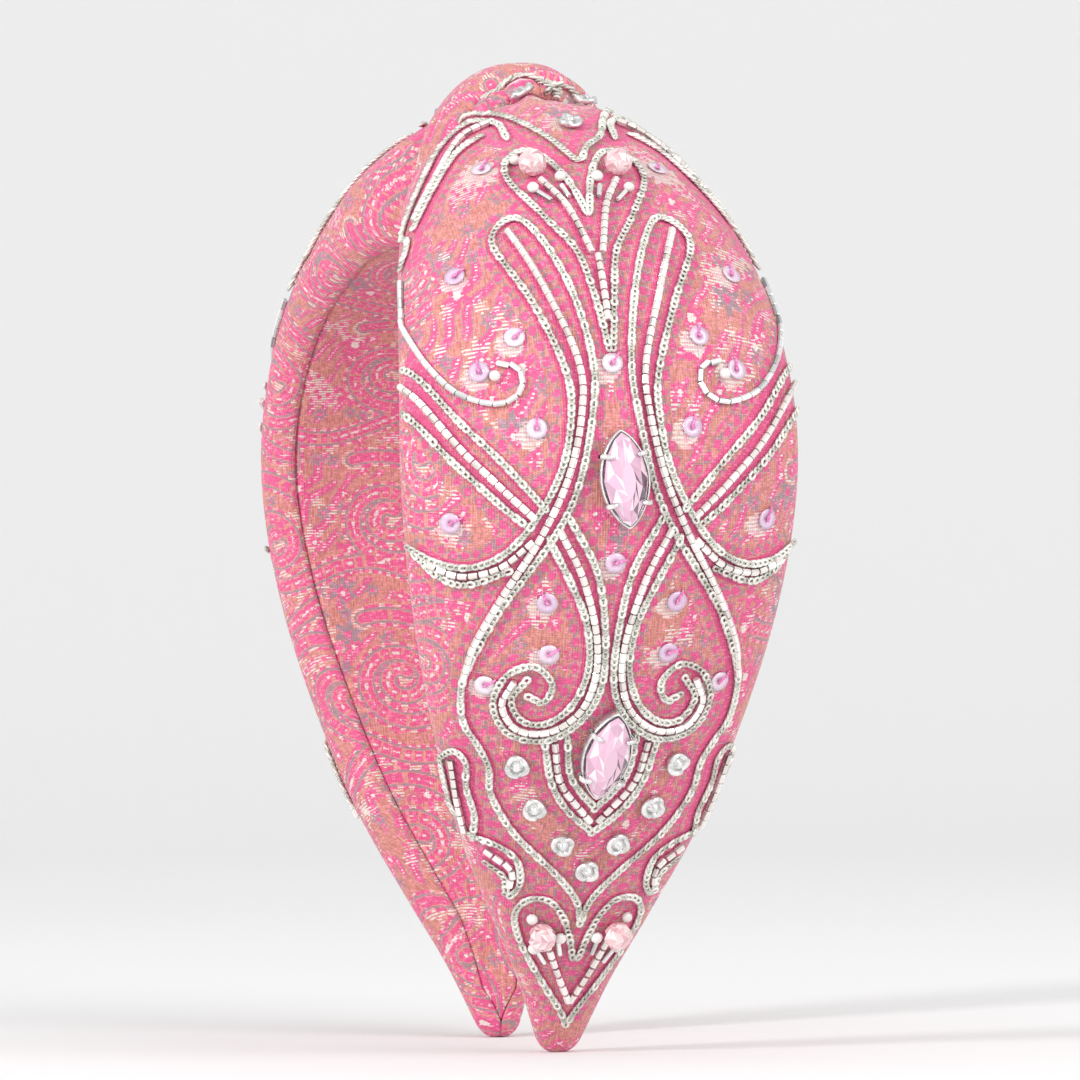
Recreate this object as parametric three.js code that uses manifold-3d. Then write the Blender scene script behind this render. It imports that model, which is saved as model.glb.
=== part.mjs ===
// A knotted headband, as a tree of separate pieces. Millimetres, +Z up, standing on its two tips.
// +X runs from one leg to the other, Y across the band, and the origin is on the ground midway between the tips.
// Inside out: woven lining, sprung plastic core, foam pads, embroidered brocade covers whose edges turn over
// the core, and at the crown a padded wrap that crosses the covers' gathered ends. Crystals in claw settings,
// faceted beads and metal rosettes are sewn on the covers.
import * as THREE from "three";
import { ConvexGeometry } from "three/addons/geometries/ConvexGeometry.js";
import { mergeVertices } from "three/addons/utils/BufferGeometryUtils.js";
import Module from "manifold-3d";

const wasm = await Module();
wasm.setup();

// ---- driving dimensions ----
const HALF_SPAN = 62.5; // the arch's mid line at the widest
const SHOULDER_Z = 97; // height of the widest point
const CROWN_RISE = 44; // from the widest point to the crown
const TIP = { x: 22.4, z: -1.5 }; // start of the mid line, just under the ground
const TIP_PULL = { x: 39.5, z: 38 }; // the two handles that shape the leg between tip and shoulder
const SHOULDER_PULL_Z = 70;

const CLOTH = 0.9; // wall of a cover
const GAP = 0.3; // left between pieces that touch
const TURN_OVER = 4.8; // how far a cover's edge turns over onto the inside
const CORE = 1.7; // thickness of the plastic core
const CORE_SHARE = 0.5; // the core's width as a share of the band's
const LINING = 0.8;
const FLEX_LINE = 21; // distance from the crown, along the mid line, where a leg flexes
const FLEX = { gap: 0.8, depth: -3.2, angle: 0.14 }; // half the clearance, the core's middle, half the opening

const WRAP = { thick: 5.6, halfWidth: 10.5, side: 11, rise: 16.8, endAngle: 0.2, skew: 0.28 };

// [distance from the tip, value] rows, joined smoothly
const HALF_WIDTH = [
  [0, 1.6], [3, 2.5], [8, 4.4], [14, 6.6], [28, 13.2], [42, 19.4], [64, 25.9], [86, 30.5], [104, 32.4], [130, 31],
  [145, 28.8], [156, 26.4], [166, 24], [173, 19.6], [178.5, 12.2], [183, 10], [191, 9.6],
];
const OUTER_DEPTH = [[0, 1.3], [4, 2.6], [20, 6.2], [45, 9.6], [85, 12], [130, 12.8], [160, 15.4], [174, 17.4], [182, 16.2], [191, 15.8]];
const INNER_DEPTH = [[0, 1.2], [4, 2.6], [14, 4.4], [28, 5.2], [188, 5.2]];
const ROUNDNESS = [[0, 2], [145, 2], [165, 2.2], [191, 2.1]]; // 2 is an ellipse, less is more pointed

// ---- the arch ----
const arch = new THREE.CurvePath();
arch.add(
  new THREE.CubicBezierCurve(
    new THREE.Vector2(TIP.x, TIP.z),
    new THREE.Vector2(TIP_PULL.x, TIP_PULL.z),
    new THREE.Vector2(HALF_SPAN, SHOULDER_PULL_Z),
    new THREE.Vector2(HALF_SPAN, SHOULDER_Z),
  ),
);
arch.add(new THREE.EllipseCurve(0, SHOULDER_Z, HALF_SPAN, CROWN_RISE, 0, Math.PI / 2));
const ARCH_LENGTH = arch.getLength(); // from a tip to the crown

// A smooth function through rows of [place, value], flat beyond its ends.
function smooth(rows) {
  const slope = rows.map((_, i) => {
    const a = rows[Math.max(0, i - 1)];
    const b = rows[Math.min(rows.length - 1, i + 1)];
    return (b[1] - a[1]) / (b[0] - a[0]);
  });
  return (x) => {
    const i = Math.min(rows.length - 2, Math.max(0, rows.findIndex((r) => r[0] > x) - 1));
    if (x >= rows[rows.length - 1][0]) return rows[rows.length - 1][1];
    if (x <= rows[0][0]) return rows[0][1];
    const span = rows[i + 1][0] - rows[i][0];
    const t = (x - rows[i][0]) / span;
    const start = rows[i][1] * (1 + 2 * t) * (1 - t) ** 2 + slope[i] * span * t * (1 - t) ** 2;
    return start + rows[i + 1][1] * t * t * (3 - 2 * t) + slope[i + 1] * span * t * t * (t - 1);
  };
}
const halfWidth = smooth(HALF_WIDTH);
const outerDepth = smooth(OUTER_DEPTH);
const innerDepth = smooth(INNER_DEPTH);
const roundness = smooth(ROUNDNESS);
const fromTip = (q) => ARCH_LENGTH - Math.abs(q);
const turnOver = (q) => Math.min(TURN_OVER, 0.45 * halfWidth(fromTip(q)));

// q runs along the arch from the left tip to the right one, 0 at the crown; y across the band, h outwards.
function place(q, y, h) {
  const u = Math.min(1, Math.max(0, fromTip(q) / ARCH_LENGTH));
  const at = arch.getPoint(u);
  const along = u > 1 - 1e-9 ? new THREE.Vector2(-1, 0) : arch.getTangent(u);
  const side = q < 0 ? -1 : 1;
  return new THREE.Vector3(side * (at.x + along.y * h), y, at.y - along.x * h);
}

// ---- solids ----
// A closed solid through a row of stations: outline(q) gives each section's [y, h] points, anticlockwise.
function loft(stations, outline, put = place) {
  const rings = stations.map((q) => outline(q).map(([y, h]) => put(q, y, h)));
  const count = rings[0].length;
  const index = [];
  for (let k = 0; k < rings.length - 1; k++)
    for (let i = 0; i < count; i++) {
      const a = k * count + i;
      const b = k * count + ((i + 1) % count);
      index.push(a, b, b + count, a, b + count, a + count);
    }
  const cap = (k, flip) => {
    const contour = outline(stations[k]).map(([y, h]) => new THREE.Vector2(y, h));
    for (const t of THREE.ShapeUtils.triangulateShape(contour, [])) {
      const [a, b, c] = t.map((i) => k * count + i);
      index.push(...(flip ? [a, c, b] : [a, b, c]));
    }
  };
  cap(0, true);
  cap(rings.length - 1, false);
  return geometryOf(rings.flat(), index);
}

function geometryOf(points, index) {
  return new THREE.BufferGeometry().setFromPoints(points).setIndex(index);
}

function toSolid(geometry) {
  const bare = new THREE.BufferGeometry().setAttribute("position", geometry.getAttribute("position"));
  bare.setIndex(geometry.index);
  const merged = mergeVertices(bare, 1e-4);
  return new wasm.Manifold(
    new wasm.Mesh({
      numProp: 3,
      vertProperties: new Float32Array(merged.attributes.position.array),
      triVerts: new Uint32Array(merged.index.array),
    }),
  );
}

function toGeometry(solid) {
  const mesh = solid.getMesh();
  const made = new THREE.BufferGeometry();
  made.setAttribute("position", new THREE.BufferAttribute(new Float32Array(mesh.vertProperties), 3));
  made.setIndex(new THREE.BufferAttribute(new Uint32Array(mesh.triVerts), 1));
  return made;
}

const spaced = (from, to, count) => Array.from({ length: count + 1 }, (_, i) => from + ((to - from) * i) / count);
const mirrorRow = (row) => row.map((q) => -q).reverse();

// The half of a section above the mid line, from the right edge over the top to the left edge.
function dome(width, depth, power, steps) {
  return spaced(0, Math.PI, steps).map((a) => [
    width * Math.sign(Math.cos(a)) * Math.abs(Math.cos(a)) ** (2 / power),
    depth * Math.sin(a) ** (2 / power),
  ]);
}

// ---- the band's sections ----
const DOME_STEPS = 16;
const CORNER_STEPS = 3;

// The rounded corner below the mid line, from the edge to the turn-over's end, on the +Y side.
function corner(width, turn, depth) {
  return spaced(0, Math.PI / 2, CORNER_STEPS)
    .slice(1)
    .map((a) => [width - turn + turn * Math.cos(a), -depth * Math.sin(a)]);
}

function coverOutline(q) {
  const s = fromTip(q);
  const right = corner(halfWidth(s), turnOver(q), innerDepth(s));
  const left = right.map(([y, h]) => [-y, h]);
  return [...dome(halfWidth(s), outerDepth(s), roundness(s), DOME_STEPS), ...left, ...right.reverse()];
}

// What a cover leaves inside, with the slot between its turned edges carried out through the inner face.
function cavityOutline(q) {
  const s = fromTip(q);
  const width = halfWidth(s) - CLOTH;
  const slot = halfWidth(s) - turnOver(q);
  const side = [...corner(width, turnOver(q) - CLOTH, innerDepth(s) - CLOTH), [slot, -innerDepth(s) - 3]];
  return [
    ...dome(width, outerDepth(s) - CLOTH, roundness(s), DOME_STEPS - 4),
    ...side.map(([y, h]) => [-y, h]),
    ...side.reverse(),
  ];
}

const coreTop = (s) => -innerDepth(s) + LINING + 0.4 + CORE;

function padOutline(q) {
  const s = fromTip(q);
  const inset = CLOTH + GAP + 0.15;
  const floor = coreTop(s) + GAP + 0.15;
  return [
    ...dome(halfWidth(s) - inset, outerDepth(s) - inset, roundness(s), 10),
    [-(halfWidth(s) - inset - 1), floor],
    [halfWidth(s) - inset - 1, floor],
  ];
}

const slab = (half, low, high) => [[half, low], [half, high], [-half, high], [-half, low]];

function coreOutline(q) {
  const s = fromTip(q);
  return slab(CORE_SHARE * halfWidth(s), coreTop(s) - CORE, coreTop(s));
}

function liningOutline(q) {
  const s = fromTip(q);
  const half = halfWidth(s) - turnOver(q) - 0.6;
  return slab(half, -innerDepth(s), -innerDepth(s) + LINING);
}

// ---- pieces of the band ----
const legRow = (near, far, count) => spaced(near, ARCH_LENGTH - far, count);

function cover(stations, cavityStations) {
  const shell = toSolid(loft(stations, coverOutline)).subtract(toSolid(loft(cavityStations, cavityOutline)));
  const ground = new THREE.BoxGeometry(300, 300, 40).translate(0, 0, -20);
  return toGeometry(shell.subtract(toSolid(ground)));
}

// The opening between a leg and the crown: it widens outwards from the core, so the leg can spread.
function flexOpening(side) {
  const { gap, depth, angle } = FLEX;
  const reach = 34;
  const half = [[gap, depth - 8], [gap, depth], [gap + reach * Math.tan(angle), depth + reach]];
  const outline = [...half, ...half.map(([x, h]) => [-x, h]).reverse()].map(([x, h]) => new THREE.Vector2(x, h));
  const wedge = new THREE.ExtrudeGeometry(new THREE.Shape(outline), { depth: 90, bevelEnabled: false });
  const at = place(side * FLEX_LINE, 0, 0);
  const out = place(side * FLEX_LINE, 0, 1).sub(at);
  const across = new THREE.Vector3(0, 1, 0);
  const frame = new THREE.Matrix4().makeBasis(new THREE.Vector3().crossVectors(out, across), out, across);
  return toSolid(wedge.translate(0, 0, -45).applyMatrix4(frame.setPosition(at)));
}

const cutAtFlexLine = (geometry, side) => toGeometry(toSolid(geometry).subtract(flexOpening(side)));
const sideRow = (row, side) => (side > 0 ? row : mirrorRow(row));

function legCover(side) {
  const shell = cover(sideRow(legRow(FLEX_LINE, 0, 30), side), sideRow(legRow(FLEX_LINE - 3, 5, 30), side));
  return cutAtFlexLine(shell, side);
}

function gather(side) {
  const shell = cover(sideRow(spaced(GAP / 2, FLEX_LINE, 16), side), sideRow(spaced(-2, FLEX_LINE + 3, 18), side));
  return cutAtFlexLine(shell, side);
}

const legPad = (side) => cutAtFlexLine(loft(sideRow(legRow(FLEX_LINE, 10, 28), side), padOutline), side);

function crownPad() {
  const whole = loft(spaced(-FLEX_LINE, FLEX_LINE, 28), padOutline);
  return cutAtFlexLine(cutAtFlexLine(whole, 1), -1);
}

const bothLegs = (far, count) => spaced(-ARCH_LENGTH + far, ARCH_LENGTH - far, count);

// ---- the wrap across the crown ----
// a is the angle round the crown from +Y, x across the wrap, h outwards from its middle.
function placeOnWrap(a, x, h) {
  const y = (WRAP.side + WRAP.thick / 2 + h) * Math.cos(a);
  return new THREE.Vector3(x + WRAP.skew * y, y, SHOULDER_Z + CROWN_RISE + (WRAP.rise + WRAP.thick / 2 + h) * Math.sin(a));
}

function wrapOutline(inset) {
  return (a) => {
    const half = WRAP.halfWidth * (0.6 + 0.4 * Math.sin(a)) - inset;
    return spaced(0, 2 * Math.PI, 14)
      .slice(0, -1)
      .map((t) => [
        half * Math.sign(Math.cos(t)) * Math.abs(Math.cos(t)) ** 0.7,
        (WRAP.thick / 2 - inset) * Math.sign(Math.sin(t)) * Math.abs(Math.sin(t)) ** 0.7,
      ]);
  };
}

const wrapRow = (extra, count) => spaced(WRAP.endAngle - extra, Math.PI - WRAP.endAngle + extra, count);

function knotWrap() {
  const outer = toSolid(loft(wrapRow(0, 18), wrapOutline(0), placeOnWrap));
  return toGeometry(outer.subtract(toSolid(loft(wrapRow(0.1, 18), wrapOutline(CLOTH), placeOnWrap))));
}

const knotRoll = () => loft(wrapRow(-0.04, 14), wrapOutline(CLOTH + GAP), placeOnWrap);

// ---- trims sewn on the covers ----
function surface(q, y) {
  const s = fromTip(q);
  const across = Math.min(1, Math.abs(y) / halfWidth(s));
  return place(q, y, outerDepth(s) * (1 - across ** roundness(s)) ** (1 / roundness(s)));
}

// Stands a trim on the cover: its Z outwards, its Y towards the crown, turned by spin about Z.
function seat(mesh, q, y, lift, spin = 0) {
  const step = 0.5;
  const up = surface(q - Math.sign(q) * step, y).sub(surface(q + Math.sign(q) * step, y)).normalize();
  const across = surface(q, y + step).sub(surface(q, y - step)).normalize();
  const out = new THREE.Vector3().crossVectors(across, up).normalize();
  if (out.dot(place(q, y, 30).sub(place(q, y, 0))) < 0) out.negate();
  const right = new THREE.Vector3().crossVectors(up, out).normalize();
  const turned = new THREE.Matrix4().makeBasis(right, new THREE.Vector3().crossVectors(out, right), out);
  mesh.quaternion.setFromRotationMatrix(turned.multiply(new THREE.Matrix4().makeRotationZ(spin)));
  mesh.position.copy(surface(q, y)).addScaledVector(out, lift);
  return mesh;
}

const STONE = { length: 15, width: 7.4, crown: 1.9, pavilion: 1.7 };

// A pointed oval of the given half length and half width.
function navette(halfLength, halfWide, z, count = 12) {
  return spaced(0, 2 * Math.PI, count)
    .slice(0, -1)
    .map((a) => new THREE.Vector3(halfWide * Math.sin(a) * (1 - 0.18 * Math.abs(Math.cos(a))), halfLength * Math.cos(a), z));
}

function crystal() {
  const { length, width, crown, pavilion } = STONE;
  return new ConvexGeometry([
    ...navette(length / 2, width / 2, 0),
    ...navette(length * 0.27, width * 0.24, crown, 6),
    ...navette(length * 0.2, width * 0.1, -pavilion, 4),
  ]);
}

function setting() {
  const { length, width, pavilion } = STONE;
  const rim = 0.7;
  const outline = navette(length / 2 + rim, width / 2 + rim, 0).map((p) => new THREE.Vector2(p.x, p.y));
  const hole = navette(length / 2 - 0.6, width / 2 - 0.6, 0).map((p) => new THREE.Vector2(p.x, p.y));
  const depth = pavilion + 0.5;
  const ring = new THREE.ExtrudeGeometry(new THREE.Shape(outline.reverse()), { depth, bevelEnabled: false });
  const bore = new THREE.ExtrudeGeometry(new THREE.Shape(hole.reverse()), { depth, bevelEnabled: false });
  let cup = toSolid(ring.translate(0, 0, -depth)).subtract(toSolid(bore.translate(0, 0, -depth + 0.4)));
  cup = cup.subtract(toSolid(ring.clone().scale(0.955, 0.975, 1).translate(0, 0, depth - 0.35)));
  for (const [sx, sy] of [[-1, -1], [1, -1], [-1, 1], [1, 1]]) {
    const claw = new THREE.BoxGeometry(1, 1.2, 2.1).translate(sx * (width / 2 - 0.1), sy * length * 0.27, 0.15);
    cup = cup.add(toSolid(claw));
  }
  return toGeometry(cup.subtract(stoneRoom()));
}

function stoneRoom() {
  return toSolid(crystal().scale(1 + (2 * GAP) / STONE.width, 1 + (2 * GAP) / STONE.length, 1.2));
}

function rosette() {
  const profile = [[0, 0], [1.9, 0], [2.2, 0.6], [1.75, 1.2], [1.2, 0.75], [0.9, 1.5], [0, 1.9]];
  return new THREE.LatheGeometry(profile.map(([r, z]) => new THREE.Vector2(r, z)), 8).rotateX(Math.PI / 2);
}

const facetedBead = () => new THREE.IcosahedronGeometry(2.3, 1);

// Places on a leg, [distance from the tip, across], shared by both legs.
const STONES = [[104.3, 0.8, 0.1], [63.0, 0.5, -0.14]]; // with the spin of each
const LEG_ROSETTES = [[59.6, -13], [59.6, 13], [52, -9.6], [52, 9.6], [45.5, -4.5], [45.5, 4.5], [40.5, 0], [163.4, 2.2]];
const LEG_BEADS = [[28.2, -5.7], [28.2, 5.7], [150, -7], [150, 6.6]];
const CROWN_ROSETTES = [[177.3, -1.8], [174.6, 7.7]];

// ---- materials ----
const finish = (color, roughness, metalness = 0) => new THREE.MeshStandardMaterial({ color, roughness, metalness });
const brocade = finish(0xe0708f, 0.6);
const liningCloth = finish(0xd86582, 0.65);
const foam = finish(0xf1ead9, 0.9);
const plastic = finish(0xe9e6df, 0.45);
const silver = finish(0xcfcfca, 0.25, 1);
const crystalGlass = finish(0xf3cfe0, 0.05);
const beadGlass = finish(0xf0b9c0, 0.1);

const headband = new THREE.Group();
function add(name, geometry, material) {
  const mesh = new THREE.Mesh(geometry, material);
  mesh.name = name;
  headband.add(mesh);
  return mesh;
}

add("band_core", loft(bothLegs(12, 76), coreOutline), plastic);
add("lining", loft(bothLegs(7, 110), liningOutline), liningCloth);
add("crown_pad", crownPad(), foam);
add("knot_wrap", knotWrap(), brocade);
add("knot_roll", knotRoll(), foam);

for (const [word, side] of [["left", -1], ["right", 1]]) {
  add(`${word}_cover`, legCover(side), brocade);
  add(`${word}_gather`, gather(side), brocade);
  add(`${word}_pad`, legPad(side), foam);
  const at = (s) => side * (ARCH_LENGTH - s);
  STONES.forEach(([s, y, spin], i) => {
    const level = ["upper", "lower"][i];
    const lift = STONE.pavilion + 0.5 + GAP + 0.6;
    seat(add(`${word}_${level}_crystal`, crystal(), crystalGlass), at(s), side * y, lift, spin);
    seat(add(`${word}_${level}_setting`, setting(), silver), at(s), side * y, lift, spin);
  });
  LEG_ROSETTES.forEach(([s, y], i) => seat(add(`${word}_rosette_${i + 1}`, rosette(), silver), at(s), side * y, 0.5));
  LEG_BEADS.forEach(([s, y], i) => seat(add(`${word}_faceted_bead_${i + 1}`, facetedBead(), beadGlass), at(s), side * y, 2.8));
  CROWN_ROSETTES.forEach(([s, y], i) => seat(add(`${word}_crown_rosette_${i + 1}`, rosette(), silver), at(s), side * y, 0.5));
}

export default headband;
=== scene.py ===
# A knotted headband in embroidered brocade, standing on its two tips, in the CAD model's frame.
# Both legs are made by the same functions: side is 1 for the right leg (+X) and -1 for the left, which is
# the right one turned half round the upright axis. Sizes are in millimetres until a mesh is made.
import math

import bpy
import numpy as np
from mathutils import Matrix, Vector
from mathutils.kdtree import KDTree


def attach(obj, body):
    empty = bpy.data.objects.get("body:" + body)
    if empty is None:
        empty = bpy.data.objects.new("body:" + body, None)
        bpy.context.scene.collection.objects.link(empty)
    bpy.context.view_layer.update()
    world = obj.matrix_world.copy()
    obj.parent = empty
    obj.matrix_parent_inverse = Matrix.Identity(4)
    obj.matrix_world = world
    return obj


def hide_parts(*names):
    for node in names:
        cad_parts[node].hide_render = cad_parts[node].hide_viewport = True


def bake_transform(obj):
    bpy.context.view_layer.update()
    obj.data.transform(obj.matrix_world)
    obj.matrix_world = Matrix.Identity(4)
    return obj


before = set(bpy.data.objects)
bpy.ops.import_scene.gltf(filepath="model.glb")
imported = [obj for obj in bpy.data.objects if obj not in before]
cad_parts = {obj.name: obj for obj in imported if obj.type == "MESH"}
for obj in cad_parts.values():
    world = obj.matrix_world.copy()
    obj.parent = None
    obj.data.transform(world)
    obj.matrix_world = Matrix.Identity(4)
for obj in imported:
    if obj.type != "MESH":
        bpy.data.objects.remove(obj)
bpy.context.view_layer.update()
MM = 0.001

# ---- the band's shape ----
HALF_SPAN, SHOULDER_Z, CROWN_RISE = 62.5, 97.0, 44.0
LEG_LINE = np.array([(22.4, -1.5), (39.5, 38.0), (62.5, 70.0), (62.5, 97.0)])
HALF_WIDTH = [
    (1.5, 0.5), (1.8, 1.3), (2.5, 2.5), (3.6, 3.4), (5.5, 4.2), (8.4, 5.2), (14, 7.2), (28, 13.4),
    (42, 19.4),
    (64, 25.9), (86, 30.5), (104, 32.4),
    (130, 31), (145, 28.8), (156, 26.4), (166, 24), (173, 19.6), (178.5, 12.2), (183, 10), (191, 9.6),
]
OUTER_DEPTH = [(1.4, 0.3), (1.9, 1.1), (3, 2.1), (5, 2.9), (20, 6.2), (45, 9.6), (85, 12), (130, 12.8),
               (160, 15.4), (174, 17.4),
               (182, 16.2), (191, 15.8)]
INNER_DEPTH = [(1.4, 0.3), (1.9, 1.1), (3, 2.0), (5, 2.8), (14, 4.4), (28, 5.2), (188, 5.2)]
ROUNDNESS = [(0, 2), (145, 2), (165, 2.2), (191, 2.1)]
CLOTH, TURN_OVER, LINING = 0.9, 4.8, 0.8
TIP_START = 1.65  # where the leg's end is cut level with the ground


def smooth(rows):
    """A smooth function through (place, value) rows, flat beyond its ends."""
    x, v = np.array(rows, float).T
    slope = np.gradient(v, x)

    def at(place):
        p = np.clip(np.asarray(place, float), x[0], x[-1])
        i = np.clip(np.searchsorted(x, p, side="right") - 1, 0, len(x) - 2)
        span = x[i + 1] - x[i]
        t = (p - x[i]) / span
        start = v[i] * (1 + 2 * t) * (1 - t) ** 2 + slope[i] * span * t * (1 - t) ** 2
        return start + v[i + 1] * t * t * (3 - 2 * t) + slope[i + 1] * span * t * t * (t - 1)

    return at


half_width, outer_depth, inner_depth, roundness = map(smooth,
                                                      (HALF_WIDTH, OUTER_DEPTH, INNER_DEPTH, ROUNDNESS))


def arch_line():
    """The mid line from tip to crown: its points, the distance to each, and the direction there."""
    t = np.linspace(0, 1, 800)[:, None]
    a, b, c, d = LEG_LINE
    leg = a * (1 - t) ** 3 + 3 * b * t * (1 - t) ** 2 + 3 * c * t * t * (1 - t) + d * t ** 3
    turn = np.linspace(0, math.pi / 2, 800)[1:]
    top = np.stack([HALF_SPAN * np.cos(turn), SHOULDER_Z + CROWN_RISE * np.sin(turn)], 1)
    points = np.vstack([leg, top])
    gone = np.concatenate([[0], np.cumsum(np.linalg.norm(np.diff(points, axis=0), axis=1))])
    ahead = np.gradient(points, gone, axis=0)
    return points, gone, ahead / np.linalg.norm(ahead, axis=1)[:, None]


ARCH, GONE, AHEAD = arch_line()
ARCH_LENGTH = GONE[-1]


def place(s, y, h):
    """s along the mid line from the right tip, y across, h outwards from the mid line, as points."""
    s, y, h = np.broadcast_arrays(np.asarray(s, float), y, h)
    x, z = (np.interp(s, GONE, ARCH[:, i]) for i in (0, 1))
    ax, az = (np.interp(s, GONE, AHEAD[:, i]) for i in (0, 1))
    return np.stack([x + az * h, y, np.maximum(z - ax * h, 0)], -1)


def pleats(s, across):
    """The soft lengthwise folds where the cloth is gathered in towards the knot."""
    near = np.clip((s - 160) / 22, 0, 1) ** 1.5
    return near * (0.75 * np.cos(across * 11 + 0.7) + 0.35 * np.cos(across * 23 + s * 0.12))


def dome(s, y):
    across = np.clip(np.abs(y) / half_width(s), 0, 1)
    power = roundness(s)
    height = (1 - across ** power) ** (1 / power)
    return (outer_depth(s) + pleats(s, np.asarray(y) / half_width(s))) * height


def on_cloth(s, y, lift=0.0):
    return place(s, y, dome(s, y) + lift)


def cloth_frame(s, y):
    """The outward direction of the cloth at each place, and the direction towards the crown."""
    y = np.asarray(y, float)
    inside = y * 0.985
    up = on_cloth(np.asarray(s) + 0.4, inside) - on_cloth(np.asarray(s) - 0.4, inside)
    over = on_cloth(s, inside + 0.3) - on_cloth(s, inside - 0.3)
    out = np.cross(over, up)
    out /= np.linalg.norm(out, axis=-1)[..., None]
    return out, up / np.linalg.norm(up, axis=-1)[..., None]


def turned(points, side):
    """Right-leg points, or the same ones turned half round for the left leg."""
    return points * np.array([side, side, 1.0])


# ---- meshes and pieces ----
def mesh_of(name, points, faces, uv=None, fields=None):
    """A mesh from points in millimetres, with its cloth map and its per-point fields."""
    mesh = bpy.data.meshes.new(name)
    mesh.from_pydata((np.asarray(points) * MM).tolist(), [], [tuple(map(int, f)) for f in faces])
    mesh.validate()
    if uv is not None:
        corner = np.zeros(len(mesh.loops), int)
        mesh.loops.foreach_get("vertex_index", corner)
        mesh.uv_layers.new(name="Cloth").data.foreach_set("uv", np.asarray(uv)[corner].ravel().astype(float))
    for key, values in (fields or {}).items():
        mesh.attributes.new(key, "FLOAT", "POINT").data.foreach_set("value", np.asarray(values, np.float32))
    mesh.polygons.foreach_set("use_smooth", [True] * len(mesh.polygons))
    return mesh


def grid_faces(rows, columns, around=False):
    wrap = columns if around else columns - 1
    return [
        (k * columns + i, k * columns + (i + 1) % columns, (k + 1) * columns + (i + 1) % columns,
         (k + 1) * columns + i)
        for k in range(rows - 1)
        for i in range(wrap)
    ]


BEND = ((8, 0, 145), (50, 0, 115))  # two points on each leg; show() turns them to the leg's side but does not use them


def show(name, mesh, material, side=0, stands_for=()):
    """Puts a finished mesh in the scene. With a side its place is baked into the mesh, else it is attached
    to the crown.
    """
    piece = bpy.data.objects.new(name, mesh)
    bpy.context.scene.collection.objects.link(piece)
    if material is not None:
        mesh.materials.clear()
        mesh.materials.append(material)
    if side:
        start, end = (tuple(turned(np.array(p, float), side) * MM) for p in BEND)
        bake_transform(piece)
    else:
        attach(piece, "crown")
    if stands_for:
        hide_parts(*stands_for)
    return piece


def side_name(side):
    return "right" if side > 0 else "left"


# ---- shader building ----
class Value:
    """A socket of a material, with the maths that is done on it."""

    def __init__(self, paint, socket):
        self.paint, self.socket = paint, socket

    def maths(self, operation, *others):
        return self.paint.node("ShaderNodeMath", {"operation": operation}, dict(enumerate((self, *others))))

    def __add__(self, other):
        return self.maths("ADD", other)

    def __sub__(self, other):
        return self.maths("SUBTRACT", other)

    def __rsub__(self, other):
        return self.paint.node("ShaderNodeMath", {"operation": "SUBTRACT"}, {0: other, 1: self})

    def __mul__(self, other):
        return self.maths("MULTIPLY", other)

    def __truediv__(self, other):
        return self.maths("DIVIDE", other)

    def __gt__(self, other):
        return self.maths("GREATER_THAN", other)

    def __lt__(self, other):
        return self.maths("LESS_THAN", other)

    __radd__, __rmul__ = __add__, __mul__

    def sine(self):
        return self.maths("SINE")

    def floor(self):
        return self.maths("FLOOR")

    def sibling(self, name):
        """Another output of the same node."""
        return Value(self.paint, self.socket.node.outputs[name])

    def between(self, low, high):
        """0 below low, 1 above high, smooth between."""
        sockets = {"Value": self, "From Min": low, "From Max": high}
        return self.paint.node("ShaderNodeMapRange", {"interpolation_type": "SMOOTHSTEP"}, sockets)


class Paint:
    """A material under construction."""

    def __init__(self, name):
        self.material = bpy.data.materials.new(name)
        self.material.use_nodes = True
        self.tree = self.material.node_tree
        self.tree.nodes.clear()

    def node(self, kind, settings=None, sockets=None, output=0):
        made = self.tree.nodes.new(kind)
        for key, value in (settings or {}).items():
            setattr(made, key, value)
        for key, value in (sockets or {}).items():
            if isinstance(value, Value):
                self.tree.links.new(value.socket, made.inputs[key])
            else:
                made.inputs[key].default_value = value
        return Value(self, made.outputs[output]) if len(made.outputs) else None

    def field(self, name):
        return self.node("ShaderNodeAttribute", {"attribute_name": name}, output="Fac")

    def cloth_map(self):
        """The two directions of the cloth, across and along, in millimetres."""
        split = self.node("ShaderNodeUVMap", {"uv_map": "Cloth"})
        return [self.node("ShaderNodeSeparateXYZ", None, {0: split}, output=i) for i in (0, 1)]

    def vector(self, x, y, z=0.0):
        return self.node("ShaderNodeCombineXYZ", None, {0: x, 1: y, 2: z})

    def noise(self, at, scale, detail=2.0, rough=0.5):
        return self.node("ShaderNodeTexNoise", None,
                         {"Vector": at, "Scale": scale, "Detail": detail, "Roughness": rough})

    def mix(self, amount, first, second):
        settings = {"data_type": "RGBA"}
        return self.node("ShaderNodeMix", settings, {0: amount, 6: first, 7: second}, output=2)

    def bump(self, height, distance, strength=1.0):
        return self.node("ShaderNodeBump", None, {"Height": height, "Distance": distance,
                                                  "Strength": strength})

    def surface(self, **sockets):
        named = {key.replace("_", " "): value for key, value in sockets.items()}
        self.finish(self.node("ShaderNodeBsdfPrincipled", None, named))
        return self.material

    def finish(self, shader):
        self.node("ShaderNodeOutputMaterial", None, {"Surface": shader})


SALMON = (0.79, 0.325, 0.265, 1)
DEEP_SALMON = (0.63, 0.20, 0.185, 1)
HOT_PINK = (0.86, 0.115, 0.30, 1)
PAINTED_HIGHLIGHT_PINK = (0.93, 0.34, 0.50, 1)
LILAC_GREY = (0.42, 0.27, 0.31, 1)
OFF_WHITE = (0.90, 0.78, 0.72, 1)


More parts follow.
